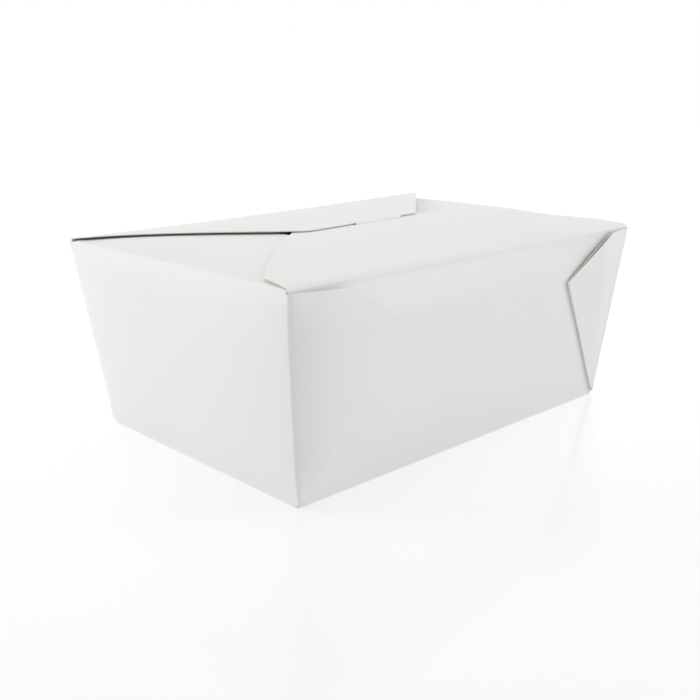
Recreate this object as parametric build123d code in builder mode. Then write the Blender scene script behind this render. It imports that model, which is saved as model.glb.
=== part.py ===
"""Folded paperboard lunch box with web corners and a slot-and-tab lid, in millimetres.

The box is one die-cut sheet. X runs along the long walls, Y from the near wall to the far
one and Z up. The origin lies under the middle of the base, on the surface it stands on.
"""

import os
from math import asin, atan, atan2, cos, degrees, hypot, radians, sin, tan

from build123d import *

# Tray, over the outside of the board
base_length = 202.6
base_width = 135.4
top_length = 223.0
top_width = 151.4
depth = 89.0

# Board and its folds
board = 0.45
crease_inside_radius = 0.25
layer_gap = 0.12
corner_radius = 0.5

# Web corners: the sheet between two walls, folded double against the long wall
web_fold_length = 81.0
web_foot_rise = 0.4
web_top_drop = 0.4
web_shoulder_run = 20.0
web_shoulder_drop = 4.2
left_web_spring = 0.3
right_web_spring = 1.4

# End flaps, which lie lowest
lid_clearance = 0.45
end_flap_depth = 68.0
end_flap_inset = 2.0
end_flap_side_angle = 35.0
end_flap_rise = 2.6
end_flap_turn = 4.0
end_flap_nose_radius = 8.0

# Sides that the near flap and the tuck flap share
flap_end_inset = 1.0
flap_side_angle = 48.0
flap_nose_radius = 2.0

# Near flap, which has the slot
near_flap_depth = 94.0
near_shoulder_inset = 3.0
near_shoulder_depth = 16.0
near_side_bulge = 3.0
near_flap_rise = 2.3
near_flap_turn = 7.5

# Tuck flap, which closes last and carries the tab
tuck_flap_depth = 76.0
tuck_shoulder_inset = 2.0
tuck_shoulder_depth = 10.0
tuck_flap_gap = 0.8
tuck_flap_turn = 11.0
hinge_clearance = 0.2

# Lock tab and its slot
tab_width = 31.0
tab_length = 12.0
tab_offset = 9.5
tab_nose_radius = 6.0
tab_taper = 1.5
tab_lean = 2.0
slot_margin = 1.0
slot_front_clearance = 0.3
slot_back_clearance = 1.2

# Slopes and lengths that follow from the sizes
crease_radius = crease_inside_radius + board / 2
crease_outside_radius = crease_inside_radius + board
side_flare = (top_width - base_width) / 2
end_flare = (top_length - base_length) / 2
side_slope = atan(side_flare / depth)
end_slope = atan(end_flare / depth)
stack = 2 * (board + layer_gap)
web_fold_angle = (
    90
    - degrees(atan(end_flare / hypot(depth, side_flare))) / 2
    - degrees(atan(side_flare / hypot(depth, end_flare))) / 2
    - 45
)
crease_height = depth - board / 2
end_crease_height = crease_height - board - lid_clearance
fold_lip = crease_radius / 2
corner_length = hypot(depth, side_flare, end_flare)
web_foot = crease_outside_radius + web_foot_rise
wall_top = end_crease_height + board / 2 - crease_outside_radius - fold_lip
web_top = (wall_top - web_top_drop) * corner_length / depth
slot_width = board + slot_front_clearance + slot_back_clearance
bend_run = 3 * crease_radius
lid_room = 20.0
past_edge = 5.0


def side_wall_middle(height):
    """Distance from the middle plane to the mid-thickness of a long wall."""
    return base_width / 2 + side_flare * height / depth - board / 2 / cos(side_slope)


def end_wall_middle(height):
    """Distance from the middle plane to the mid-thickness of an end wall."""
    return base_length / 2 + end_flare * height / depth - board / 2 / cos(end_slope)


def wall_planes(offset_by=0.0):
    """Planes of the four walls' outer faces, or moved outward from them."""
    planes = []
    for way in (-1, 1):
        end_normal = Vector(way * cos(end_slope), 0, -sin(end_slope))
        side_normal = Vector(0, way * cos(side_slope), -sin(side_slope))
        end_foot = Vector(way * base_length / 2, 0, 0)
        side_foot = Vector(0, way * base_width / 2, 0)
        planes.append(Plane(origin=end_foot + offset_by * end_normal, z_dir=end_normal))
        planes.append(Plane(origin=side_foot + offset_by * side_normal, z_dir=side_normal))
    return planes


def tray_body(offset_by, floor, top, edge_radius):
    """Solid between the four wall planes, with its lower edges rounded."""
    with BuildPart() as body:
        with Locations((0, 0, floor)):
            Box(
                top_length + 2 * past_edge,
                top_width + 2 * past_edge,
                top - floor,
                align=(Align.CENTER, Align.CENTER, Align.MIN),
            )
        for plane in wall_planes(offset_by):
            split(bisect_by=plane, keep=Keep.BOTTOM)
        fillet(body.edges().group_by(Axis.Z)[0], edge_radius)
    return body.part


def web_plane(end, spring):
    """Plane of a near corner's web: X up the corner, turned about it by the spring angle."""
    foot = Vector(end * base_length / 2, -base_width / 2, 0)
    corner = Vector(end * end_flare, -side_flare, depth).normalized()
    wall_normal = Vector(0, -cos(side_slope), -sin(side_slope))
    normal = wall_normal.rotate(Axis((0, 0, 0), corner), -end * spring)
    return Plane(origin=foot, x_dir=corner, z_dir=normal)


def bow_lift(run, rise, turn):
    """Angle at which a bowed flap leaves its crease, for a chord of this run and rise."""
    return degrees(atan2(rise, run)) + turn / 2


def bow_radius(run, rise, turn):
    """Radius of a bowed flap whose chord has this run and rise."""
    return hypot(run, rise) / (2 * sin(radians(turn / 2)))


def bow_height(distance, run, rise, turn):
    """Height of a bowed flap over its crease at this distance from it."""
    lift = radians(bow_lift(run, rise, turn))
    radius = bow_radius(run, rise, turn)
    return radius * (cos(asin(sin(lift) - distance / radius)) - cos(lift))


def flap_outline(crease, toward, flap_depth, shoulder_inset, shoulder_depth, side_bulge):
    """Draws a long flap's outline, seen from above, from its crease at this Y."""
    angle = radians(flap_side_angle)
    half = top_length / 2
    shoulder = half - shoulder_inset
    nose = shoulder - (flap_depth - shoulder_depth) * tan(angle)
    side_x = (shoulder + nose) / 2 + side_bulge * cos(angle)
    side_y = crease + toward * ((shoulder_depth + flap_depth) / 2 + side_bulge * sin(angle))
    for way in (-1, 1):
        Polyline(
            (0, crease - toward * past_edge),
            (way * (half - flap_end_inset), crease - toward * past_edge),
            (way * (half - flap_end_inset), crease),
            (way * shoulder, crease + toward * shoulder_depth),
        )
        if side_bulge > 0:
            ThreePointArc(
                (way * shoulder, crease + toward * shoulder_depth),
                (way * side_x, side_y),
                (way * nose, crease + toward * flap_depth),
            )
        else:
            Line(
                (way * shoulder, crease + toward * shoulder_depth),
                (way * nose, crease + toward * flap_depth),
            )
        Line((way * nose, crease + toward * flap_depth), (0, crease + toward * flap_depth))


# Lid geometry along Y
near_crease_y = -side_wall_middle(crease_height)
hinge_y = side_wall_middle(crease_height)
tuck_edge_y = hinge_y - tuck_flap_depth
tab_face_y = tuck_edge_y - crease_outside_radius
near_height_at_tab = bow_height(tab_face_y - near_crease_y, near_flap_depth, near_flap_rise, near_flap_turn)
tuck_flap_rise = near_height_at_tab + board + tuck_flap_gap

near_lift = radians(bow_lift(near_flap_depth, near_flap_rise, near_flap_turn))
far_wall_top = crease_height - board - hinge_clearance
with BuildSketch() as near_outline:
    with BuildLine():
        flap_outline(
            near_crease_y,
            1,
            near_flap_depth,
            near_shoulder_inset,
            near_shoulder_depth,
            near_side_bulge,
        )
    make_face()
    nose_ends = near_outline.vertices().group_by(Axis.Y)[-1].sort_by(Axis.X)
    fillet([nose_ends[0], nose_ends[-1]], flap_nose_radius)

# Tray: base and four flared walls, up to where the lid's folds begin
with BuildPart() as tray:
    add(tray_body(0, 0, wall_top, crease_outside_radius))
    add(tray_body(-board, board, depth, crease_inside_radius), mode=Mode.SUBTRACT)

# Near flap, folded over from the near wall, with the slot for the tab
with BuildPart() as near_flap:
    with BuildSketch(Plane.YZ):
        with BuildLine():
            fold = FilletPolyline(
                (-side_wall_middle(wall_top - past_edge), wall_top - past_edge),
                (near_crease_y, crease_height),
                (near_crease_y + bend_run * cos(near_lift), crease_height + bend_run * sin(near_lift)),
                radius=crease_radius,
            )
            JernArc(
                start=fold @ 1,
                tangent=(cos(near_lift), sin(near_lift)),
                radius=bow_radius(near_flap_depth, near_flap_rise, near_flap_turn),
                arc_size=-near_flap_turn,
            )
            offset(amount=board / 2)
        make_face()
    extrude(amount=top_length / 2 + past_edge, both=True)
    split(bisect_by=Plane.XY.offset(wall_top), keep=Keep.TOP)
    for plane in wall_planes():
        if abs(plane.z_dir.X) > 0:
            split(bisect_by=plane, keep=Keep.BOTTOM)
    with BuildSketch(Plane.XY.offset(depth - crease_outside_radius)):
        with Locations((0, near_crease_y)):
            Rectangle(top_length + 2 * past_edge, 2 * (near_flap_depth + past_edge))
        add(near_outline.sketch, mode=Mode.SUBTRACT)
    extrude(amount=lid_room, mode=Mode.SUBTRACT)
    with BuildSketch(Plane.XY.offset(crease_height)):
        with Locations((tab_offset, tab_face_y + slot_width / 2 - slot_front_clearance)):
            SlotOverall(tab_width + 2 * slot_margin, slot_width)
    extrude(amount=lid_room, mode=Mode.SUBTRACT)

# Top of the far wall, whose rounded edge carries the tuck flap
with BuildPart() as far_edge:
    with BuildSketch(Plane.YZ):
        with BuildLine():
            Line(
                (side_wall_middle(wall_top - past_edge), wall_top - past_edge),
                (side_wall_middle(far_wall_top), far_wall_top),
            )
            offset(amount=board / 2)
        make_face()
    extrude(amount=top_length / 2 - flap_end_inset, both=True)
    split(bisect_by=Plane.XY.offset(wall_top), keep=Keep.TOP)

# End flap, folded over from the end wall, which lies under the near flap
end_lift = radians(bow_lift(end_flap_depth, end_flap_rise, end_flap_turn))
end_crease_x = end_wall_middle(end_crease_height)
end_flap_half = top_width / 2 - board - end_flap_inset
end_nose_x = end_crease_x - end_flap_depth
end_nose_half = end_flap_half - end_flap_depth * tan(radians(end_flap_side_angle))
with BuildSketch() as end_outline:
    with BuildLine():
        Polyline(
            (end_crease_x + past_edge, end_flap_half),
            (end_crease_x, end_flap_half),
            (end_nose_x, end_nose_half),
            (end_nose_x, -end_nose_half),
            (end_crease_x, -end_flap_half),
            (end_crease_x + past_edge, -end_flap_half),
            close=True,
        )
    make_face()
    fillet(end_outline.vertices().group_by(Axis.X)[0], end_flap_nose_radius)

with BuildPart() as end_flap:
    with BuildSketch(Plane.XZ):
        with BuildLine():
            fold = FilletPolyline(
                (end_wall_middle(wall_top - past_edge), wall_top - past_edge),
                (end_crease_x, end_crease_height),
                (end_crease_x - bend_run * cos(end_lift), end_crease_height + bend_run * sin(end_lift)),
                radius=crease_radius,
            )
            JernArc(
                start=fold @ 1,
                tangent=(-cos(end_lift), sin(end_lift)),
                radius=bow_radius(end_flap_depth, end_flap_rise, end_flap_turn),
                arc_size=end_flap_turn,
            )
            offset(amount=board / 2)
        make_face()
    extrude(amount=top_width / 2, both=True)
    split(bisect_by=Plane.XY.offset(wall_top), keep=Keep.TOP)
    extrude(end_outline.sketch, amount=2 * depth, mode=Mode.INTERSECT)

# Web corners: each web is folded on its bisector and lies double against the long wall
with BuildPart() as webs:
    for end, spring in ((-1, left_web_spring), (1, right_web_spring)):
        across = end
        plane = web_plane(end, spring)
        free_edge = Vector(cos(radians(web_fold_angle)), across * sin(radians(web_fold_angle)))
        with BuildSketch(plane.offset(-board / 2)):
            with Locations(((web_foot + web_top) / 2, across * (board - past_edge / 2))):
                Rectangle(web_top - web_foot, 2 * board + past_edge)
        extrude(amount=stack + board / 2)
        with BuildSketch(plane.offset(layer_gap)):
            with BuildLine():
                Polyline(
                    (web_foot, -across * past_edge),
                    (web_foot, across * web_foot * tan(radians(web_fold_angle))),
                    web_fold_length * free_edge,
                    (corner_length - web_shoulder_drop, across * web_shoulder_run),
                    (web_top, 0),
                    (web_top, -across * past_edge),
                    close=True,
                )
            make_face()
        extrude(amount=stack - layer_gap)
        with BuildSketch(plane.offset(layer_gap + board)):
            with BuildLine():
                inset = 2 * board
                start = Vector(inset / tan(radians(web_fold_angle / 2)), across * inset)
                Polyline(
                    start,
                    start + web_fold_length * free_edge,
                    (corner_length + past_edge, across * web_fold_length),
                    (corner_length + past_edge, across * inset),
                    close=True,
                )
            make_face()
        extrude(amount=layer_gap, mode=Mode.SUBTRACT)
    for plane in wall_planes():
        if abs(plane.z_dir.X) > 0:
            split(bisect_by=plane, keep=Keep.BOTTOM)
    corner_edges = webs.edges().filter_by(
        lambda edge: edge.length > depth / 2
        and abs(edge.center().X) > (base_length + end_flare - board) / 2
        and edge.center().Y < -(base_width + side_flare) / 2 - layer_gap - board
    )
    fillet(corner_edges, corner_radius)
    mirror(about=Plane.XZ)

with BuildPart() as carton:
    add(tray.part)
    add(near_flap.part)
    add(far_edge.part)
    add(end_flap.part)
    add(mirror(end_flap.part, about=Plane.YZ, mode=Mode.PRIVATE))
    add(webs.part)

# Tuck flap with its lock tab, hinged on the far wall's top crease
tuck_lift = radians(bow_lift(tuck_flap_depth, tuck_flap_rise, tuck_flap_turn))
with BuildSketch() as tuck_outline:
    with BuildLine():
        flap_outline(hinge_y, -1, tuck_flap_depth, tuck_shoulder_inset, tuck_shoulder_depth, 0)
    make_face()
    nose_ends = tuck_outline.vertices().group_by(Axis.Y)[0].sort_by(Axis.X)
    fillet([nose_ends[0], nose_ends[-1]], flap_nose_radius)
    with Locations((tab_offset, tuck_edge_y)):
        Rectangle(tab_width, 2 * past_edge)

with BuildPart() as tuck_flap:
    with BuildSketch(Plane.YZ):
        with BuildLine():
            bow = JernArc(
                start=(hinge_y, crease_height),
                tangent=(-cos(tuck_lift), sin(tuck_lift)),
                radius=bow_radius(tuck_flap_depth, tuck_flap_rise, tuck_flap_turn),
                arc_size=tuck_flap_turn,
            )
            bend = JernArc(
                start=bow @ 1,
                tangent=bow % 1,
                radius=crease_radius,
                arc_size=90 + tab_lean + degrees(tuck_lift) - tuck_flap_turn,
            )
            tab = Line(bend @ 1, bend @ 1 + tab_length * (bend % 1))
            offset(amount=board / 2)
        make_face()
    extrude(amount=top_length / 2, both=True)
    extrude(tuck_outline.sketch, amount=2 * depth, mode=Mode.INTERSECT)
    root_height = (tab @ 0).Y
    tip_height = (tab @ 1).Y
    with BuildSketch(Plane.XZ.offset(-tab_face_y)) as tab_cut:
        with BuildLine():
            Polyline(
                (tab_offset - tab_width / 2, root_height),
                (tab_offset - tab_width / 2 + tab_taper, tip_height),
                (tab_offset + tab_width / 2 - tab_taper, tip_height),
                (tab_offset + tab_width / 2, root_height),
                close=True,
            )
        make_face()
        fillet(tab_cut.vertices().group_by(Axis.Y)[0], tab_nose_radius)
        tab_face = tab_cut.sketch_local
        with Locations((tab_offset, root_height)):
            Rectangle(
                top_length,
                tab_length + past_edge,
                align=(Align.CENTER, Align.MAX),
                mode=Mode.REPLACE,
            )
        add(tab_face, mode=Mode.SUBTRACT)
    extrude(amount=past_edge, both=True, mode=Mode.SUBTRACT)

parts = {"carton": carton, "tuck_flap": tuck_flap}
os.makedirs("parts", exist_ok=True)
for name, piece in parts.items():
    piece.part.label = name
    export_step(piece.part, f"parts/{name}.step")
    print(name, len(piece.solids()), round(piece.part.volume, 1), piece.part.bounding_box())
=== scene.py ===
"""White paperboard lunch box, the one folded sheet that it is, made here as two boards: the carton and
the tuck flap.

Sizes are in millimetres until a sheet becomes a mesh. X runs along the long walls, Y from the
near wall with the slotted flap to the far wall with the tuck flap, and Z up.
"""

import math

import bmesh
import bpy
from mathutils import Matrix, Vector, noise


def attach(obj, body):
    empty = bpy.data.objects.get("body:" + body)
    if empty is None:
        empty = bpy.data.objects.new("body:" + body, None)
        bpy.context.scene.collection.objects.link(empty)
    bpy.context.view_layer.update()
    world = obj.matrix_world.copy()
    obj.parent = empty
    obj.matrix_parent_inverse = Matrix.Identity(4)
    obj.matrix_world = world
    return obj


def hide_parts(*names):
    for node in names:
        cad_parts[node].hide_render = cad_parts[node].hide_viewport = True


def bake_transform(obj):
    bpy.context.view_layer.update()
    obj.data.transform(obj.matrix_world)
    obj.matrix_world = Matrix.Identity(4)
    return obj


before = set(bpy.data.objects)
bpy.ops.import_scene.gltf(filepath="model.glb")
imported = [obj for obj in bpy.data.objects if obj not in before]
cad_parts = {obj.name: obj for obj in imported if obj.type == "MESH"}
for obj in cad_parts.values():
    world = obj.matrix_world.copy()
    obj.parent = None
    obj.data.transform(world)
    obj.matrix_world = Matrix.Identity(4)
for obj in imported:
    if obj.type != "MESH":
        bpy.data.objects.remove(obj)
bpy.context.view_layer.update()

MM = 0.001

# Box
BOARD = 0.45
HALF_BOARD = BOARD / 2
DEPTH = 89.0
BASE_LENGTH = 202.6
BASE_WIDTH = 135.4
TOP_LENGTH = 223.0
TOP_WIDTH = 151.4
CREASE_RADIUS = 0.62
NEAR_FOLD_RADIUS = 1.5
END_FOLD_RADIUS = 1.2
CREASE_STEPS = 8
SIDE_CREASE = DEPTH - HALF_BOARD
END_CLEARANCE = 0.45
END_CREASE = SIDE_CREASE - BOARD - END_CLEARANCE
END_SLOPE = (TOP_LENGTH - BASE_LENGTH) / 2 / DEPTH
SIDE_SLOPE = (TOP_WIDTH - BASE_WIDTH) / 2 / DEPTH

# Web corners
LAYER_GAP = 0.12
LAYER = BOARD + LAYER_GAP
WEB_FOOT = 0.9
WEB_TOP = 87.1
CORNER_RADIUS = 1.6
FOOT_CORNER_RADIUS = 0.5
CORNER_RADIUS_GROWTH = 0.12
TURN_INSET = 1.0
FOLD_REACH = 1.0
WEB_ROWS = 30
WEB_COLUMNS = 22
X_COLUMNS = 57
Y_COLUMNS = 43
WRAP_STEPS = 6
TURN_STEPS = 8
FOLD_STEPS = 10

# Webs: end, side, tip and shoulder (across, height), then how far the outer and the inner layer
# stand off at the tip and along the raw edge
WEBS = (
    (-1, -1, (50.9, 67.8), (23.5, 86.0), (0.15, 0.05), (0.3, 0.1)),
    (1, -1, (47.4, 66.6), (15.5, 86.4), (0.25, 0.1), (1.5, 0.35)),
    (-1, 1, (52.5, 67.4), (20.0, 86.2), (0.5, 0.2), (0.8, 0.4)),
    (1, 1, (52.5, 67.4), (20.0, 86.2), (0.6, 0.3), (1.2, 0.6)),
)

# Long flaps: depth, inset and depth of the shoulder, and how far the side bows out
FLAP_END_INSET = 0.7
FLAP_SIDE_ANGLE = math.radians(48)
TUCK_FLAP_DEPTH = 76.0
NEAR_FLAP = (94.0, 3.0, 16.0, 3.0)
TUCK_FLAP = (TUCK_FLAP_DEPTH, 2.0, 10.0, 0.0)
NOSE_RADIUS = 2.0

# End flaps
END_FLAP_DEPTH = 68.0
END_FLAP_INSET = 2.5
END_FLAP_CORNER = 1.0
END_FLAP_SIDE_SLOPE = math.tan(math.radians(35))
END_NOSE_RADIUS = 8.0

# Lock tab and its slot
TAB_LEFT = -6.0
TAB_RIGHT = 25.0
TAB_LENGTH = 12.0
TAB_TAPER = 1.5
TAB_NOSE_RADIUS = 6.0
TAB_LEAN = math.radians(2.0)
SLOT_LEFT = -7.0
SLOT_RIGHT = 26.0
SLOT_FRONT = -1.55
SLOT_BACK = 0.4
SLOT_ROW = 74.9
SLOT_CORNER = 0.45

# How the closed box gives: the walls belly out, the rims and corners lean. The near wall bulges
# within its run from the left corner; the web over it keeps a part of that.
NEAR_BULGE = 5.4
NEAR_BULGE_RUN = 22.0
NEAR_CURL = 1.2
KEPT_BULGE = 0.32
NEAR_SINK = 0.6
FAR_BELLY = 2.0
END_BELLY = 1.6
CURL = 0.55
CURL_RUN = 5.0
CORNER_BOW = 0.8
FOLD_FLARE = 1.2
FAR_RIM_RISE = 1.3
LEFT_RIM_FLARE = 1.9
RIGHT_RIM_RISE = 2.0
WAVE = 0.16
WAVE_SIZE = 46.0

# How the closed box gives: the sprung flaps arch. A spring is a height, and a run is how far from
# the fold it is reached.
FLAP_GAP = 0.35
NEAR_FLAP_SLOPE = 0.0904
NEAR_FLAP_DROOP = 0.000702
NEAR_FLAP_PUSH = 1.7
NEAR_FLAP_REST = 2.83
TUCK_SPRING = 3.45
TUCK_SPRING_RIGHT = 1.6
TUCK_RUN = 19
TUCK_RUN_RIGHT = 8
END_SPRING = 4.5
END_RUN = 21
END_GAP_LEFT = 1.0
END_GAP_RIGHT = 2.6
END_REACH_UNDER_NEAR = 66.0

# Joining of the patches: distances in metres, and the outline of the widest pinhole
SEAM = 0.00001
SHELL_SEAM = 0.000002
PINHOLE_LIMIT = 0.0125
SHARP_ANGLE = math.radians(40)

# Relief of the board's grain
BUMP_STRENGTH = 0.35

# Values of the fold attribute: 1 is a crease at its whitest, and less than 0 paints shade on the board
# Painted shade along the near fold, which dims the highlight that the lamps put there
NEAR_FOLD_PAINTED_SHADE = -0.6
# Crease whitening on the webs' folds and raw top edges, partly a painted highlight on them
WEB_FOLD_WEAR_AND_HIGHLIGHT = 0.9
WEB_EDGE_WEAR_AND_HIGHLIGHT = 0.7
WEB_INNER_WEAR = 0.35
TAB_EDGE_WEAR = 0.3
TUCK_HIDDEN_WEAR = 0.15

# Studio
AMBIENT = 0.555
FLOOR_SIZE = 3.0
FLOOR_TONE = 0.42
FLOOR_GLOW = 0.52
FLOOR_BOUNCE = 0.33
FLOOR_ROUGHNESS = 0.15
FLOOR_SPECULAR = 0.75
LIGHT_AIM = (0, 0, 0.04)

# Lights: name, place and size in metres, watts and tint
LIGHTS = (
    ("left_light", (-0.79, 1.05, 0.34), 0.9, 10.4, (1.0, 0.985, 0.955)),
    ("right_light", (2.76, -1.5, 0.9), 1.8, 37.5, (0.98, 0.99, 1.0)),
    ("top_light", (0.25, -0.1, 1.5), 1.2, 4.3, (1.0, 1.0, 1.0)),
)

# Camera fitted to the box's corners: its place is right, up and back from the origin
PHOTO_PIXELS = 700
FOCAL_PIXELS = 950.44
SENSOR_WIDTH = 36.0
CAMERA_TURN = math.radians(-43.8)
CAMERA_RISE = math.radians(15.87)
CAMERA_PLACE = (-6.36, 28.51, 478.26)


def end_middle(height):
    """Distance from the middle of the box to an end wall's mid-thickness."""
    flare = (TOP_LENGTH - BASE_LENGTH) / 2
    return BASE_LENGTH / 2 + flare * height / DEPTH - HALF_BOARD


def side_middle(height):
    """Distance from the middle of the box to a long wall's mid-thickness."""
    flare = (TOP_WIDTH - BASE_WIDTH) / 2
    return BASE_WIDTH / 2 + flare * height / DEPTH - HALF_BOARD


def smooth(value):
    """Eases a value from 0 to 1."""
    value = min(1.0, max(0.0, value))
    return value * value * (3 - 2 * value)


def wave(u, v, seed):
    """Slow, shallow unevenness of a board panel."""
    return WAVE * noise.noise(Vector((u / WAVE_SIZE, v / WAVE_SIZE, seed)))


def belly(across, half, height, amount, seed):
    """How far a wall bows outward at this place, nothing at its folds."""
    up = min(1.0, max(0.0, height / WEB_TOP)) ** 1.15
    rise = 4 * up * (1 - up)
    side = 1 - min(1.0, abs(across) / half) ** 2.5
    curl = CURL * (1 - math.exp(-max(0.0, half - abs(across)) / CURL_RUN)) * min(1.0, 2.5 * rise)
    return rise * side * amount + curl + min(1.0, 4 * rise * side) * wave(across, height, seed)


def near_belly(x, half, height):
    """The near wall bulges most beside its left corner and is nearly flat at its right."""
    up = min(1.0, max(0.0, height / WEB_TOP)) ** 1.15
    rise = min(1.0, 6.4 * up * (1 - up))
    start = max(0.0, x + half)
    rest = min(1.0, max(0.0, (half - x) / (2 * half)))
    bulge = NEAR_BULGE * (1 - math.exp(-start / NEAR_BULGE_RUN)) * rest
    curl = NEAR_CURL * (1 - math.exp(-start / CURL_RUN)) * rest
    return rise * (bulge + curl) + rise * min(1.0, 4 * rest, start / 20) * wave(x, height, 3)


def near_left_over(x, half, height):
    """The part of the near wall's bulge that its fold holds back, which a free layer may keep."""
    if x > 0 or height < DEPTH / 2:
        return 0.0
    return near_belly(x, half, DEPTH / 2) - near_belly(x, half, height)


def near_sink(x, height):
    """How far the near wall gives way inward under the upper half of its right web."""
    level = smooth((height - 60) / 12) * min(1.0, max(0.0, (WEB_TOP - height) / 12))
    return NEAR_SINK * smooth((x - 34) / 46) * (1 - smooth((x - 92) / 17)) * level


def rim_lift_far(x, height):
    """The far rim rises evenly towards its right end."""
    return FAR_RIM_RISE * (x / TOP_LENGTH + 0.5) * max(0.0, height / DEPTH) ** 5


def rim_flare_left(y, height):
    """The left end's rim leans out a little towards its far corner."""
    return LEFT_RIM_FLARE * smooth((y + 20) / 96) * max(0.0, height / DEPTH) ** 1.2


def rim_lift_right(y, height):
    """The right end's rim is pushed up between its corners and meets the far rim."""
    rise = RIGHT_RIM_RISE * smooth((y + 76) / 82)
    rise -= (RIGHT_RIM_RISE - FAR_RIM_RISE) * smooth((y - 30) / 44)
    return rise * max(0.0, height / DEPTH) ** 5


def bend(corner, before, after, radius):
    """Points of an arc that rounds the corner between two directions."""
    corner = Vector(corner)
    before = Vector(before).normalized()
    after = Vector(after).normalized()
    turn = before.angle(after)
    tangent = radius * math.tan(turn / 2)
    start = corner - before * tangent
    side = (after - before * before.dot(after)).normalized()
    points = []
    for step in range(CREASE_STEPS + 1):
        angle = turn * step / CREASE_STEPS
        ahead = before * radius * math.sin(angle)
        aside = side * radius * (1 - math.cos(angle))
        points.append(start + ahead + aside)
    return points


def spread(low, high, count):
    """Evenly spaced values."""
    return [low + (high - low) * i / (count - 1) for i in range(count)]


def nose(left, radius):
    """How much a rounded corner takes off the width at this distance from the flap's edge."""
    if left >= radius:
        return 0.0
    return radius - math.sqrt(max(0.0, radius**2 - (radius - left) ** 2))


class Sheet:
    """Grid patches of the board's mid-surface, later joined edge to edge."""

    def __init__(self):
        self.points = []
        self.folds = []
        self.faces = []

    def patch(self, rows, skip=None):
        """Adds rows of (x, y, z, fold) points as faces."""
        start = len(self.points)
        width = len(rows[0])
        for row in rows:
            for x, y, z, fold in row:
                self.points.append(Vector((x, y, z)))
                self.folds.append(fold)
        for i in range(len(rows) - 1):
            for j in range(width - 1):
                if skip and skip(i, j):
                    continue
                a = start + i * width + j
                self.faces.append((a, a + 1, a + width + 1, a + width))


def flap_half_width(distance, flap):
    """Half the width of a long flap at this distance from its crease."""
    depth, shoulder_inset, shoulder_depth, bulge = flap
    half = TOP_LENGTH / 2
    shoulder = half - shoulder_inset
    if distance < shoulder_depth:
        part = max(0.0, distance) / shoulder_depth
        return half - FLAP_END_INSET - (shoulder_inset - FLAP_END_INSET) * part
    width = shoulder - (distance - shoulder_depth) * math.tan(FLAP_SIDE_ANGLE)
    if bulge > 0:
        chord = (depth - shoulder_depth) / math.cos(FLAP_SIDE_ANGLE)
        radius = (chord**2 / 4 + bulge**2) / (2 * bulge)
        side_end = shoulder - chord * math.sin(FLAP_SIDE_ANGLE)
        centre = (shoulder + side_end) / 2 - (radius - bulge) * math.cos(FLAP_SIDE_ANGLE)
        level = (shoulder_depth + depth) / 2 - (radius - bulge) * math.sin(FLAP_SIDE_ANGLE)
        width = centre + math.sqrt(radius**2 - (distance - level) ** 2)
    return width - nose(depth - distance, NOSE_RADIUS)


def near_flap_height(x, distance):
    """Height of the near flap: a bow, pushed up on the right, that meets the tuck flap."""
    bow = NEAR_FLAP_SLOPE * distance - NEAR_FLAP_DROOP * distance**2
    push = NEAR_FLAP_PUSH * smooth((x + 20) / 90) * (1 - smooth((x - 74) / 34))
    push *= smooth(distance / 12) * math.exp(-((distance / 34) ** 2))
    under_tuck = tuck_flap_height(x, TUCK_FLAP_DEPTH) - BOARD - FLAP_GAP
    meet = (under_tuck - (SIDE_CREASE + NEAR_FLAP_REST)) * smooth((distance - 15) / 58)
    uneven = wave(x, distance, 11) * smooth(distance / 20) * smooth((80 - distance) / 20)
    return SIDE_CREASE + bow + push + meet + uneven


def tuck_flap_height(x, distance):
    """Height of the tuck flap, which springs up from its fold, most at its right end."""
    right = smooth((x + 50) / 160)
    spring = TUCK_SPRING + TUCK_SPRING_RIGHT * right
    run = TUCK_RUN - TUCK_RUN_RIGHT * right
    return (
        SIDE_CREASE
        + rim_lift_far(x, DEPTH)
        + spring * (1 - math.exp(-max(0.0, distance) / run))
        + 0.6 * wave(x, distance, 23) * smooth(distance / 20)
    )


def lesser(a, b, ease):
    """The smaller of two heights, blended where they are about the same."""
    mix = min(1.0, max(0.0, 0.5 + (b - a) / (2 * ease)))
    return b * (1 - mix) + a * mix - ease * mix * (1 - mix)


def end_flap_height(end, y, distance):
    """Height of an end flap, which springs up until the long flaps hold it down."""
    x = end * (end_middle(END_CREASE) - distance)
    crease = side_middle(SIDE_CREASE)
    gap = END_GAP_LEFT if end < 0 else END_GAP_RIGHT
    under_tuck = tuck_flap_height(x, crease - y) - BOARD - gap
    under_near = near_flap_height(x, min(crease + y, END_REACH_UNDER_NEAR)) - BOARD - FLAP_GAP
    held = lesser(under_tuck, under_near, 0.5)
    rim = rim_lift_right(y, END_CREASE) * math.exp(-((distance / 30) ** 2)) if end > 0 else 0.0
    if distance <= 0:
        return END_CREASE + rim
    free = END_CREASE + rim + END_SPRING * (1 - math.exp(-distance / END_RUN))
    return lesser(free, max(held, END_CREASE - 0.4), 0.6)


def columns(extra):
    """Shares of the half-width, from -1 to 1, with the sides of the slot or tab among them."""
    even = [v for v in spread(-1, 1, X_COLUMNS) if min(abs(v - e) for e in extra) > 0.008]
    return sorted(even + list(extra))


# Shares and heights at which the patches have their points, the same along every shared edge
slot_row_half = flap_half_width(SLOT_ROW, NEAR_FLAP)
slot_sides = (SLOT_LEFT / slot_row_half, SLOT_RIGHT / slot_row_half)
across = columns(slot_sides)
along = spread(-1, 1, Y_COLUMNS)
wall_shares = [0.02] + spread(0.06, 1, WEB_ROWS)
wall_heights = [WEB_FOOT + share * (WEB_TOP - WEB_FOOT) for share in wall_shares]
base_half_x = end_middle(0) - TURN_INSET
base_half_y = side_middle(HALF_BOARD) - CREASE_RADIUS


def corner_bow(end, side, height):
    """How far the left corners stand out along X: the near one bows, the far one leans."""
    if end > 0:
        return 0.0
    if side > 0:
        return rim_flare_left(end_half_width(height), height)
    up = min(1.0, max(0.0, height / WEB_TOP))
    return CORNER_BOW * min(1.0, 6 * up * (1 - up))


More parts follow.
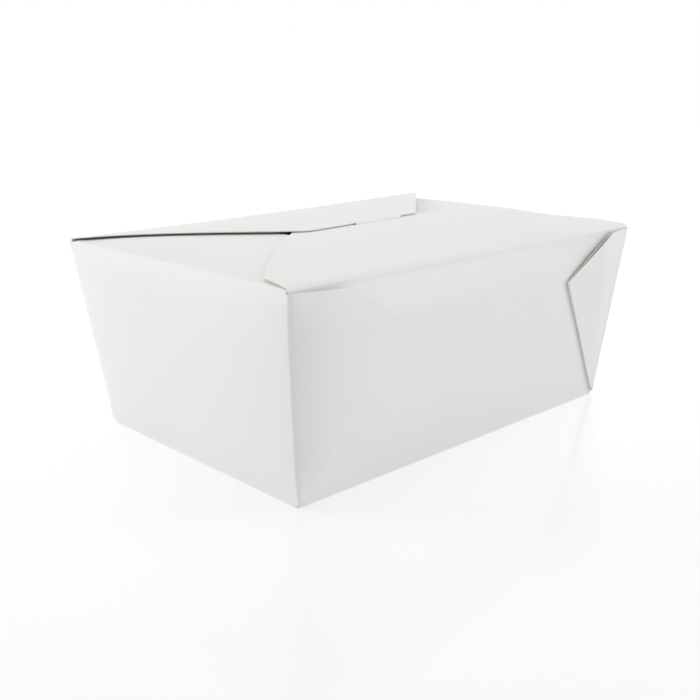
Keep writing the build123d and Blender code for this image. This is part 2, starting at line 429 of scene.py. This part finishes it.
def long_wall_point(side, x, height, out=0.0):
    """Point on a long wall's mid-surface, or moved outward from it."""
    if side < 0:
        bulge = near_belly(x, end_middle(height), height) - near_sink(x, height)
    else:
        bulge = belly(x, end_middle(height), height, FAR_BELLY, 5)
    lift = rim_lift_far(x, height) if side > 0 else 0.0
    return x, side * (side_middle(height) + bulge + out), height + lift


def long_wall_row(side, height, shares):
    """Row of points along a long wall, from one web's turn to the other's."""
    half = end_middle(height) - TURN_INSET
    left = half + corner_bow(-1, side, height)
    row = []
    for c in shares:
        x = c * (left if c < 0 else half)
        row.append((*long_wall_point(side, x, height), 0))
    return row


def long_wall_rows(side):
    """Rows from the base up to the web's top."""
    rows = [[(c * base_half_x, side * base_half_y, HALF_BOARD, 0) for c in across]]
    corner = (side_middle(HALF_BOARD), HALF_BOARD)
    for out, z in bend(corner, (1, 0), (SIDE_SLOPE, 1), CREASE_RADIUS):
        rows.append([(c * base_half_x, side * out, z, 1) for c in across])
    for height in wall_heights:
        rows.append(long_wall_row(side, height, across))
    return rows


def slot_gap(first, last):
    """Says which faces of a patch the slot removes, between these two rows."""
    left = across.index(slot_sides[0])
    right = across.index(slot_sides[1])

    def skip(i, j):
        return first <= i < last and left <= j < right

    return skip


def near_flap_rows():
    """Rows from the web's top over the near fold to the flap's edge, and the slot's faces."""
    crease = side_middle(SIDE_CREASE)
    rows = [long_wall_row(-1, WEB_TOP, across)]
    half = TOP_LENGTH / 2 - FLAP_END_INSET
    flat = (-1, NEAR_FLAP_SLOPE)
    fold = bend((crease, SIDE_CREASE), (SIDE_SLOPE, 1), flat, NEAR_FOLD_RADIUS)
    for out, z in fold:
        # The near fold's rows carry painted shade in their fold attribute
        rows.append([(c * half, -out, z, NEAR_FOLD_PAINTED_SHADE) for c in across])
    reach = crease - fold[-1][0]
    slot_front = crease + SLOT_FRONT
    slot_back = crease + SLOT_BACK
    before_slot = [reach + 0.6, 2.2, 4, 7, 10.5, 14, 16, 19, 23] + spread(27, 69, 15) + [72]
    slot = [slot_front, (slot_front + slot_back) / 2, slot_back]
    after_slot = [78, 81, 84, 87, 90, 92, 92.5, 93, 93.4, 93.7, 93.9, 94]
    first = len(rows) + len(before_slot)
    for distance in before_slot + slot + after_slot:
        half = flap_half_width(distance, NEAR_FLAP)
        row = []
        for c in across:
            x = c * half
            if distance in (slot_front, slot_back) and c in slot_sides:
                x += -SLOT_CORNER if c > 0 else SLOT_CORNER
            row.append((x, -crease + distance, near_flap_height(x, distance), 0))
        rows.append(row)
    return rows, slot_gap(first, first + len(slot) - 1)


def tuck_rows(shares):
    """Rows from the far wall's top over the far fold to the tuck flap's edge."""
    crease = side_middle(SIDE_CREASE)
    rows = [long_wall_row(1, height, shares) for height in (wall_heights[-2], WEB_TOP)]
    half = TOP_LENGTH / 2 - FLAP_END_INSET
    for step in range(-1, CREASE_STEPS + 1):
        row = []
        for c in shares:
            x = c * (half + (FOLD_FLARE if c < 0 else 0.0))
            rise = tuck_flap_height(x, 1.0) - tuck_flap_height(x, 0.0)
            fold = bend((crease, SIDE_CREASE), (SIDE_SLOPE, 1), (-1, rise), CREASE_RADIUS)
            out, z = fold[max(0, step)]
            fold_attribute = 1
            if step < 0:
                # One row just under the crease keeps the whitening from spreading down the wall
                out, z = out - 0.02, z - 0.35
                fold_attribute = TUCK_HIDDEN_WEAR
            row.append((x, out, z + rim_lift_far(x, DEPTH), fold_attribute))
        rows.append(row)
    reach = crease - fold[-1][0]
    distances = [reach + 0.5, 2.2, 3.6, 5.5, 8, 11, 13.5, 16, 19, 23] + spread(27, 71, 14)
    distances += [74, 74.5, 75, 75.4, 75.7, 75.9, 76]
    for distance in distances:
        half = flap_half_width(distance, TUCK_FLAP)
        row = []
        for c in shares:
            x = c * (half + (FOLD_FLARE * math.exp(-distance / 14) if c < 0 else 0.0))
            row.append((x, crease - distance, tuck_flap_height(x, distance), 0))
        rows.append(row)
    return rows


def tab_rows(edge):
    """Rows from the tuck flap's edge over the tab's fold to its rounded nose."""
    left, right = (shares_tuck.index(c) for c in tab_sides)
    top = edge[left : right + 1]
    middle = (TAB_LEFT + TAB_RIGHT) / 2
    down = Vector((0, math.sin(TAB_LEAN), -math.cos(TAB_LEAN)))
    rows = [[(x, y, z, TAB_EDGE_WEAR) for x, y, z, _ in top]]
    for step in range(1, CREASE_STEPS + 1):
        angle = (math.pi / 2 + TAB_LEAN) * step / CREASE_STEPS
        ahead = CREASE_RADIUS * math.sin(angle)
        drop = CREASE_RADIUS * (1 - math.cos(angle))
        rows.append([(x, y - ahead, z - drop, 1) for x, y, z, _ in top])
    half = (TAB_RIGHT - TAB_LEFT) / 2
    for distance in (0.6, 3, 5, 6, 7, 8, 9, 10, 10.8, 11.4, 11.8, 12.0):
        narrow = TAB_TAPER * distance / TAB_LENGTH
        narrow += nose(TAB_LENGTH - distance, TAB_NOSE_RADIUS)
        row = []
        for (_, y, z, _), (x0, _, _, _) in zip(rows[CREASE_STEPS], top):
            x = middle + (x0 - middle) * (half - narrow) / half
            row.append((*(Vector((x, y, z)) + down * distance), 0))
        rows.append(row)
    return rows


def corner_radius(height):
    """Radius of a box corner, which is sharper towards its foot."""
    return min(CORNER_RADIUS, FOOT_CORNER_RADIUS + CORNER_RADIUS_GROWTH * height)


def end_half_width(height):
    """Half the width of an end wall where it turns into the webs."""
    return side_middle(height) + 2 * LAYER - corner_radius(height)


def end_point(end, share, half, height):
    """Point on an end wall's mid-surface."""
    y = share * half
    lift = rim_lift_right(y, height) if end > 0 else 0.0
    x = end_middle(height) + belly(y, half, height, END_BELLY, 7 + end)
    if end < 0:
        near_share = smooth((half - y) / (2 * half)) ** 2
        x += rim_flare_left(y, height) + corner_bow(end, -1, height) * near_share
    return end * x, y, height + lift


def end_rows(end):
    """Rows from the base's edge up an end wall and over its fold to the flap's edge."""
    rows = [[(end * base_half_x, k * base_half_y, HALF_BOARD, 0) for k in along]]
    corner = (end_middle(HALF_BOARD), HALF_BOARD)
    for out, z in bend(corner, (1, 0), (END_SLOPE, 1), CREASE_RADIUS):
        rows.append([(end * out, k * base_half_y, z, 1) for k in along])
    for height in wall_heights:
        half = end_half_width(height)
        rows.append([(*end_point(end, k, half, height), 0) for k in along])
    top_half = TOP_WIDTH / 2 - END_FLAP_CORNER
    crease = end_middle(END_CREASE)
    for step in range(CREASE_STEPS + 1):
        row = []
        for k in along:
            y = k * top_half
            rise = end_flap_height(end, y, 1.0) - end_flap_height(end, y, 0.0)
            fold = bend((crease, END_CREASE), (END_SLOPE, 1), (-1, rise), END_FOLD_RADIUS)
            out, z = fold[step]
            lift = rim_lift_right(y, END_CREASE) if end > 0 else 0.0
            flare = rim_flare_left(y, END_CREASE) if end < 0 else 0.0
            row.append((end * (out + flare), y, z + lift, 1))
        rows.append(row)
    distances = [1.9, 2.8, 4, 6, 8.5, 11, 14] + spread(18, 58, 14)
    distances += [60, 61, 63, 65, 66.5, 67.4, 67.8, 68]
    for distance in distances:
        taper = (END_FLAP_INSET - END_FLAP_CORNER) * smooth(distance / 5)
        taper += distance * END_FLAP_SIDE_SLOPE
        half = top_half - taper - nose(END_FLAP_DEPTH - distance, END_NOSE_RADIUS)
        row = []
        for k in along:
            y = k * half
            flare = rim_flare_left(y, END_CREASE) * math.exp(-distance / 20) if end < 0 else 0.0
            x = end * (crease - distance + flare)
            row.append((x, y, end_flap_height(end, y, distance), 0))
        rows.append(row)
    return rows


def cut_edge(tip, shoulder):
    """The web's raw edge from its top by its shoulder to its tip: (share, across, height)."""
    top = (0.0, WEB_TOP)
    first = math.dist(top, shoulder)
    second = math.dist(shoulder, tip)
    whole = first + second
    result = []
    for share in spread(0, 1, WEB_COLUMNS):
        run = share * whole
        if run < first:
            part = run / first
            a, height = shoulder[0] * part, WEB_TOP + (shoulder[1] - WEB_TOP) * part
        else:
            part = (run - first) / second
            a, height = (shoulder[i] + (tip[i] - shoulder[i]) * part for i in range(2))
        result.append((share, a, height))
    return result


def add_web(sheet, end, side, tip, shoulder, tip_gaps, edge_gaps):
    """A web corner: the sheet wraps round the end wall, folds back and joins the long wall."""

    def place(a, height, out):
        """Point this far in from the corner and out from the long wall."""
        x = end * (end_middle(height) + corner_bow(end, side, height) - a)
        if side < 0:
            free = min(1.3, max(0.0, out / (2 * LAYER))) ** 1.5
            kept = KEPT_BULGE * free * near_left_over(x, end_middle(height), height)
            out += near_sink(x, height) + kept
        return long_wall_point(side, x, height, out)

    edge = cut_edge(tip, shoulder)
    reach = math.dist((0, WEB_FOOT), tip)
    fold_way = ((tip[1] - WEB_FOOT) / reach, -tip[0] / reach)

    def lift(share, run, part, height, tip_gap, edge_gap):
        """How far a layer stands off: at its tip, and most 42% of the way along its raw edge."""
        open_tip = tip_gap * (run / tip[0]) ** 1.4 * smooth((height - WEB_FOOT) / tip[1])
        open_edge = edge_gap * smooth(part / 0.42) * (1 - smooth((part - 0.42) / 0.62)) * share**2
        return open_tip + open_edge

    wrap, outer, fold, inner, turn = [], [], [], [], []
    for share, height_row in zip(wall_shares, wall_heights):
        out_row, in_row = [], []
        radius = corner_radius(height_row)
        for part, a, height in edge:
            run = share * a
            z = WEB_FOOT + share * (height - WEB_FOOT)
            ahead = radius + run * (1 - radius / (share * tip[0]))
            back = TURN_INSET + run * (1 - TURN_INSET / (share * tip[0]))
            outer_gap = lift(share, run, part, z, tip_gaps[0], edge_gaps[0])
            inner_gap = lift(share, run, part, z, tip_gaps[1], edge_gaps[1])
            out_row.append((ahead, z, 2 * LAYER + outer_gap))
            in_row.append((back, z, LAYER + inner_gap))
        # Whitened top edge and fold of the outer layer: crease wear, partly a painted highlight
        fold_attribute = [WEB_EDGE_WEAR_AND_HIGHLIGHT if share == 1 else 0] * (WEB_COLUMNS - 1) + [WEB_FOLD_WEAR_AND_HIGHLIGHT]
        outer.append([(*place(*p), fold_factor) for p, fold_factor in zip(out_row, fold_attribute)])
        inner.append([(*place(*p), 0) for p in in_row])
        a1, z1, o1 = out_row[-1]
        a0, z0, o0 = in_row[-1]

        # The fold's half turn from the outer layer to the inner one
        row = []
        fold_reach = FOLD_REACH * smooth(share * 12) if share < 0.1 else FOLD_REACH
        for step in range(FOLD_STEPS + 1):
            angle = math.pi * step / FOLD_STEPS
            mix = (1 - math.cos(angle)) / 2
            push = fold_reach * math.sin(angle)
            a = a1 + (a0 - a1) * mix + fold_way[0] * push
            z = z1 + (z0 - z1) * mix + fold_way[1] * push
            fold_factor = 1 if 0 < step < FOLD_STEPS else WEB_INNER_WEAR
            row.append((*place(a, z, o1 + (o0 - o1) * mix), fold_factor))
        fold.append(row)

        # The quarter turn round the box's corner
        row = []
        for step in range(WRAP_STEPS + 1):
            angle = math.pi / 2 * step / WRAP_STEPS
            a = radius * (1 - math.cos(angle))
            out = 2 * LAYER - radius + radius * math.sin(angle)
            row.append((*place(a, height_row, out), 1))
        wrap.append(row)

        # The half turn from the inner layer to the long wall
        row = []
        for step in range(TURN_STEPS + 1):
            angle = math.pi * step / TURN_STEPS
            a = TURN_INSET - LAYER / 2 * math.sin(angle)
            row.append((*place(a, height_row, LAYER / 2 + LAYER / 2 * math.cos(angle)), 1))
        turn.append(row)
    for rows in (wrap, outer, fold, inner, turn):
        sheet.patch(rows)


def board_tree():
    """Geometry nodes that give the mid-surface its board thickness and its raw edges."""
    tree = bpy.data.node_groups.new("board_thickness", "GeometryNodeTree")
    tree.interface.new_socket("Sheet", in_out="INPUT", socket_type="NodeSocketGeometry")
    thick = tree.interface.new_socket("Board Thickness", in_out="INPUT", socket_type="NodeSocketFloat")
    thick.default_value = BOARD * MM
    tree.interface.new_socket("Face", in_out="INPUT", socket_type="NodeSocketMaterial")
    tree.interface.new_socket("Raw Edge", in_out="INPUT", socket_type="NodeSocketMaterial")
    tree.interface.new_socket("Board", in_out="OUTPUT", socket_type="NodeSocketGeometry")
    nodes, links = tree.nodes, tree.links
    given = nodes.new("NodeGroupInput")
    result = nodes.new("NodeGroupOutput")
    normal = nodes.new("GeometryNodeInputNormal")
    half = nodes.new("ShaderNodeMath")
    half.operation = "MULTIPLY"
    half.inputs[1].default_value = -0.5
    links.new(given.outputs["Board Thickness"], half.inputs[0])
    shift = nodes.new("ShaderNodeVectorMath")
    shift.operation = "SCALE"
    links.new(normal.outputs["Normal"], shift.inputs[0])
    links.new(half.outputs["Value"], shift.inputs["Scale"])
    back = nodes.new("GeometryNodeSetPosition")
    links.new(given.outputs["Sheet"], back.inputs["Geometry"])
    links.new(shift.outputs["Vector"], back.inputs["Offset"])
    front = nodes.new("GeometryNodeExtrudeMesh")
    front.mode = "FACES"
    front.inputs["Individual"].default_value = False
    links.new(back.outputs["Geometry"], front.inputs["Mesh"])
    links.new(given.outputs["Board Thickness"], front.inputs["Offset Scale"])
    edged = nodes.new("GeometryNodeSetMaterial")
    links.new(front.outputs["Mesh"], edged.inputs["Geometry"])
    links.new(front.outputs["Side"], edged.inputs["Selection"])
    links.new(given.outputs["Raw Edge"], edged.inputs["Material"])
    not_side = nodes.new("FunctionNodeBooleanMath")
    not_side.operation = "NOT"
    links.new(front.outputs["Side"], not_side.inputs[0])
    front_faced = nodes.new("GeometryNodeSetMaterial")
    links.new(edged.outputs["Geometry"], front_faced.inputs["Geometry"])
    links.new(not_side.outputs["Boolean"], front_faced.inputs["Selection"])
    links.new(given.outputs["Face"], front_faced.inputs["Material"])
    flip = nodes.new("GeometryNodeFlipFaces")
    links.new(back.outputs["Geometry"], flip.inputs["Mesh"])
    back_faced = nodes.new("GeometryNodeSetMaterial")
    links.new(flip.outputs["Mesh"], back_faced.inputs["Geometry"])
    links.new(given.outputs["Face"], back_faced.inputs["Material"])
    join = nodes.new("GeometryNodeJoinGeometry")
    links.new(back_faced.outputs["Geometry"], join.inputs["Geometry"])
    links.new(front_faced.outputs["Geometry"], join.inputs["Geometry"])
    weld = nodes.new("GeometryNodeMergeByDistance")
    weld.inputs["Distance"].default_value = SHELL_SEAM
    links.new(join.outputs["Geometry"], weld.inputs["Geometry"])
    whole = nodes.new("GeometryNodeRealizeInstances")
    links.new(weld.outputs["Geometry"], whole.inputs["Geometry"])
    links.new(whole.outputs["Geometry"], result.inputs["Board"])
    return tree


def close_pinholes(mesh):
    """Fills the small openings that are left where all folds meet, by a fan to their middle."""
    border = [edge for edge in mesh.edges if edge.is_boundary]
    seen = set()
    for start in border:
        if start in seen:
            continue
        loop = [start]
        seen.add(start)
        stack = list(start.verts)
        while stack:
            vert = stack.pop()
            for edge in vert.link_edges:
                if edge.is_boundary and edge not in seen:
                    seen.add(edge)
                    loop.append(edge)
                    stack.extend(edge.verts)
        if sum(edge.calc_length() for edge in loop) < PINHOLE_LIMIT:
            middle = sum((v.co for e in loop for v in e.verts), Vector()) / (2 * len(loop))
            centre = mesh.verts.new(middle)
            for edge in loop:
                a, b = edge.verts
                mesh.faces.new((a, b, centre))


def make_board(name, sheet, tree, face, core):
    """Joins a sheet's patches, gives them thickness and returns the finished object."""
    mesh = bmesh.new()
    fold = mesh.verts.layers.float.new("fold")
    made = []
    for point, value in zip(sheet.points, sheet.folds):
        vert = mesh.verts.new(point * MM)
        vert[fold] = value
        made.append(vert)
    for corners in sheet.faces:
        mesh.faces.new([made[i] for i in corners])
    bmesh.ops.remove_doubles(mesh, verts=mesh.verts, dist=SEAM)
    close_pinholes(mesh)
    bmesh.ops.recalc_face_normals(mesh, faces=mesh.faces)
    data = bpy.data.meshes.new(name + "_sheet")
    mesh.to_mesh(data)
    mesh.free()
    draft = bpy.data.objects.new(name + "_draft", data)
    bpy.context.scene.collection.objects.link(draft)
    modifier = draft.modifiers.new("board", "NODES")
    modifier.node_group = tree
    sockets = {item.name: item.identifier for item in tree.interface.items_tree}
    modifier[sockets["Board Thickness"]] = BOARD * MM
    modifier[sockets["Face"]] = face
    modifier[sockets["Raw Edge"]] = core
    depsgraph = bpy.context.evaluated_depsgraph_get()
    solid = bpy.data.meshes.new_from_object(draft.evaluated_get(depsgraph), depsgraph=depsgraph)
    bpy.data.objects.remove(draft)
    solid.name = name
    solid.shade_smooth()
    solid.set_sharp_from_angle(angle=SHARP_ANGLE)
    piece = bpy.data.objects.new(name, solid)
    bpy.context.scene.collection.objects.link(piece)
    return piece


def shader_group(name, inputs, outputs):
    """Empty shader node group with named sockets: (name, kind, value)."""
    tree = bpy.data.node_groups.new(name, "ShaderNodeTree")
    for label, kind, value in inputs:
        item = tree.interface.new_socket(label, in_out="INPUT", socket_type="NodeSocket" + kind)
        item.default_value = value
    for label, kind in outputs:
        tree.interface.new_socket(label, in_out="OUTPUT", socket_type="NodeSocket" + kind)
    return tree, tree.nodes.new("NodeGroupInput"), tree.nodes.new("NodeGroupOutput")


def add_maths(tree, operation, *values):
    """Math node whose inputs are numbers or other nodes' outputs; returns its output."""
    node = tree.nodes.new("ShaderNodeMath")
    node.operation = operation
    for index, value in enumerate(values):
        if isinstance(value, (int, float)):
            node.inputs[index].default_value = value
        else:
            tree.links.new(value, node.inputs[index])
    return node.outputs["Value"]


def add_noise(tree, vector, scale, detail, rough):
    """Noise texture centred on nothing: about -0.5 to 0.5."""
    node = tree.nodes.new("ShaderNodeTexNoise")
    node.inputs["Detail"].default_value = detail
    node.inputs["Roughness"].default_value = rough
    tree.links.new(vector, node.inputs["Vector"])
    tree.links.new(scale, node.inputs["Scale"])
    return add_maths(tree, "SUBTRACT", node.outputs["Fac"], 0.5)


def board_grain():
    """Shared effect: clouded tone, pressed fibres along the board's grain, and whitened folds, with
    painted shade where the fold value is below 0.
    """
    inputs = (
        ("Tone", "Color", (0.87, 0.88, 0.865, 1)),
        ("Roughness", "Float", 0.55),
        ("Cloud Scale", "Float", 24.0),
        ("Cloud Amount", "Float", 0.03),
        ("Fibre Scale", "Float", 1100.0),
        ("Fibre Amount", "Float", 0.02),
        ("Fold Whitening And Shade", "Float", 0.02),
    )
    outputs = (("Base Color", "Color"), ("Roughness", "Float"), ("Height", "Float"))
    tree, given, result = shader_group("board_grain", inputs, outputs)
    nodes, links = tree.nodes, tree.links
    place = nodes.new("ShaderNodeTexCoord").outputs["Object"]
    grain = nodes.new("ShaderNodeVectorMath")
    grain.operation = "MULTIPLY"
    grain.inputs[1].default_value = (0.3, 1.0, 1.0)
    links.new(place, grain.inputs[0])
    cloud = add_noise(tree, place, given.outputs["Cloud Scale"], 3.0, 0.55)
    fibre = add_noise(tree, grain.outputs["Vector"], given.outputs["Fibre Scale"], 3.0, 0.6)
    fold = nodes.new("ShaderNodeAttribute")
    fold.attribute_name = "fold"
    crease = add_maths(tree, "MINIMUM", fold.outputs["Fac"], 1.0)
    rubbed = add_maths(tree, "ABSOLUTE", crease)
    fold_factor = add_maths(tree, "MULTIPLY_ADD", fibre, 1.2, 1.0)
    uneven = add_maths(tree, "MULTIPLY", crease, fold_factor)
    # Crease whitening, and painted shade where the fold value is below 0
    white = add_maths(tree, "MULTIPLY", uneven, given.outputs["Fold Whitening And Shade"])
    level = add_maths(tree, "MULTIPLY_ADD", cloud, given.outputs["Cloud Amount"], 1.0)
    level = add_maths(tree, "MULTIPLY_ADD", fibre, given.outputs["Fibre Amount"], level)
    level = add_maths(tree, "ADD", level, white)
    tint = nodes.new("ShaderNodeVectorMath")
    tint.operation = "SCALE"
    links.new(given.outputs["Tone"], tint.inputs[0])
    links.new(level, tint.inputs["Scale"])
    links.new(tint.outputs["Vector"], result.inputs["Base Color"])
    rough = add_maths(tree, "MULTIPLY_ADD", rubbed, 0.15, given.outputs["Roughness"])
    rough = add_maths(tree, "MULTIPLY_ADD", cloud, 0.12, rough)
    rough = add_maths(tree, "MULTIPLY_ADD", fibre, 0.15, rough)
    links.new(rough, result.inputs["Roughness"])
    links.new(add_maths(tree, "MULTIPLY_ADD", cloud, 0.5, fibre), result.inputs["Height"])
    return tree


def board_plies():
    """Shared effect: the raw cut edge, with fluffy fibres between paler and browner plies."""
    inputs = (
        ("Pale Ply", "Color", (0.89, 0.87, 0.81, 1)),
        ("Brown Ply", "Color", (0.72, 0.66, 0.55, 1)),
        ("Ply Scale", "Float", 2600.0),
        ("Patch Scale", "Float", 240.0),
    )
    outputs = (("Base Color", "Color"), ("Height", "Float"))
    tree, given, result = shader_group("board_plies", inputs, outputs)
    nodes, links = tree.nodes, tree.links
    place = nodes.new("ShaderNodeTexCoord").outputs["Object"]
    ply = add_noise(tree, place, given.outputs["Ply Scale"], 3.0, 0.65)
    patch = add_noise(tree, place, given.outputs["Patch Scale"], 2.0, 0.5)
    share = add_maths(tree, "MULTIPLY_ADD", ply, 1.3, 0.3)
    share = add_maths(tree, "MULTIPLY_ADD", patch, 0.9, share)
    mix = nodes.new("ShaderNodeMix")
    mix.data_type = "RGBA"
    links.new(share, mix.inputs[0])
    # A Mix node's colour sockets share their names with its number sockets
    links.new(given.outputs["Pale Ply"], mix.inputs[6])
    links.new(given.outputs["Brown Ply"], mix.inputs[7])
    links.new(mix.outputs[2], result.inputs["Base Color"])
    links.new(ply, result.inputs["Height"])
    return tree


def board_material(name, tree, relief, specular, roughness=None):
    """Material that takes its colour, relief and perhaps its roughness from a shared group."""
    material = bpy.data.materials.new(name)
    material.use_nodes = True
    nodes, links = material.node_tree.nodes, material.node_tree.links
    shader = nodes["Principled BSDF"]
    effect = nodes.new("ShaderNodeGroup")
    effect.node_tree = tree
    bump = nodes.new("ShaderNodeBump")
    bump.inputs["Strength"].default_value = BUMP_STRENGTH
    bump.inputs["Distance"].default_value = relief * MM
    links.new(effect.outputs["Base Color"], shader.inputs["Base Color"])
    if roughness is None:
        links.new(effect.outputs["Roughness"], shader.inputs["Roughness"])
    else:
        shader.inputs["Roughness"].default_value = roughness
    links.new(effect.outputs["Height"], bump.inputs["Height"])
    links.new(bump.outputs["Normal"], shader.inputs["Normal"])
    shader.inputs["Specular IOR Level"].default_value = specular
    return material


# White coated board with a faint sheen, and its raw cut edge
paper = board_material("coated_board", board_grain(), relief=0.05, specular=0.4)
core = board_material("raw_board_edge", board_plies(), relief=0.06, specular=0.2, roughness=0.9)
thickness = board_tree()

# Carton: base, walls, webs, near flap and end flaps
carton = Sheet()
base_ys = [k * base_half_y for k in along]
carton.patch([[(c * base_half_x, y, HALF_BOARD, 0) for c in across] for y in base_ys])
carton.patch(long_wall_rows(-1))
carton.patch(long_wall_rows(1)[:-1])
near_rows, slot_skip = near_flap_rows()
carton.patch(near_rows, slot_skip)
for end in (-1, 1):
    carton.patch(end_rows(end))
for web in WEBS:
    add_web(carton, *web)
carton_sheet = make_board("carton_sheet", carton, thickness, paper, core)
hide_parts("carton")
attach(carton_sheet, "carton")

# Tuck flap with its tab, from the far wall's top
nose_half = flap_half_width(TUCK_FLAP_DEPTH, TUCK_FLAP)
tab_sides = (TAB_LEFT / nose_half, TAB_RIGHT / nose_half)
shares_tuck = columns(tab_sides)
tuck = Sheet()
flap_rows = tuck_rows(shares_tuck)
tuck.patch(flap_rows)
tuck.patch(tab_rows(flap_rows[-1]))
tuck_sheet = make_board("tuck_flap_sheet", tuck, thickness, paper, core)
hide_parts("tuck_flap")
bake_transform(tuck_sheet)


def studio_floor():
    """Pale floor that reads as white and keeps a soft shadow and a faint reflection."""
    mesh = bpy.data.meshes.new("studio_floor")
    corners = [(FLOOR_SIZE * x, FLOOR_SIZE * y, 0) for x, y in ((-1, -1), (1, -1), (1, 1), (-1, 1))]
    mesh.from_pydata(corners, [], [(0, 1, 2, 3)])
    floor = bpy.data.objects.new("studio_floor", mesh)
    bpy.context.scene.collection.objects.link(floor)
    material = bpy.data.materials.new("white_floor")
    material.use_nodes = True
    nodes, links = material.node_tree.nodes, material.node_tree.links
    shader = nodes["Principled BSDF"]
    shader.inputs["Base Color"].default_value = (FLOOR_TONE, FLOOR_TONE, FLOOR_TONE, 1)
    shader.inputs["Roughness"].default_value = FLOOR_ROUGHNESS
    shader.inputs["Specular IOR Level"].default_value = FLOOR_SPECULAR
    shader.inputs["Emission Color"].default_value = (1, 1, 1, 1)
    path = nodes.new("ShaderNodeLightPath")
    glow = nodes.new("ShaderNodeMapRange")
    glow.inputs["To Min"].default_value = FLOOR_GLOW
    glow.inputs["To Max"].default_value = FLOOR_BOUNCE
    links.new(path.outputs["Is Diffuse Ray"], glow.inputs["Value"])
    links.new(glow.outputs["Result"], shader.inputs["Emission Strength"])
    mesh.materials.append(material)


def studio_light(name, place, size, watts, tint):
    """Square soft light aimed at the box."""
    lamp = bpy.data.lights.new(name, "AREA")
    lamp.shape = "SQUARE"
    lamp.size = size
    lamp.energy = watts
    lamp.color = tint
    light = bpy.data.objects.new(name, lamp)
    bpy.context.scene.collection.objects.link(light)
    light.location = place
    light.rotation_mode = "QUATERNION"
    light.rotation_quaternion = (Vector(LIGHT_AIM) - Vector(place)).to_track_quat("-Z", "Y")


def studio_world():
    """White to the camera and in reflections, even soft light on the box."""
    world = bpy.data.worlds.new("studio")
    bpy.context.scene.world = world
    world.use_nodes = True
    nodes, links = world.node_tree.nodes, world.node_tree.links
    background = nodes["Background"]
    background.inputs["Color"].default_value = (1, 1, 1, 1)
    path = nodes.new("ShaderNodeLightPath")
    seen = nodes.new("ShaderNodeMath")
    seen.operation = "MAXIMUM"
    links.new(path.outputs["Is Camera Ray"], seen.inputs[0])
    links.new(path.outputs["Is Glossy Ray"], seen.inputs[1])
    strength = nodes.new("ShaderNodeMapRange")
    strength.inputs["To Min"].default_value = AMBIENT
    strength.inputs["To Max"].default_value = 1.0
    links.new(seen.outputs["Value"], strength.inputs["Value"])
    links.new(strength.outputs["Result"], background.inputs["Strength"])


def photo_camera():
    """Camera at the photograph's angle."""
    level = math.cos(CAMERA_RISE)
    cos_turn, sin_turn = math.cos(CAMERA_TURN), math.sin(CAMERA_TURN)
    back = Vector((sin_turn * level, -cos_turn * level, math.sin(CAMERA_RISE)))
    right = Vector((cos_turn, sin_turn, 0))
    up = back.cross(right)
    data = bpy.data.cameras.new("camera")
    data.sensor_width = SENSOR_WIDTH
    data.lens = FOCAL_PIXELS / PHOTO_PIXELS * SENSOR_WIDTH
    data.clip_start, data.clip_end = 0.01, 20.0
    camera = bpy.data.objects.new("camera", data)
    bpy.context.scene.collection.objects.link(camera)
    place = zip((right, up, back), CAMERA_PLACE)
    camera.location = sum((way * length for way, length in place), Vector()) * MM
    camera.rotation_mode = "QUATERNION"
    camera.rotation_quaternion = (-back).to_track_quat("-Z", "Y")
    bpy.context.scene.camera = camera


studio_floor()
studio_world()
for light in LIGHTS:
    studio_light(*light)
photo_camera()
bpy.context.scene.view_settings.view_transform = "Standard"
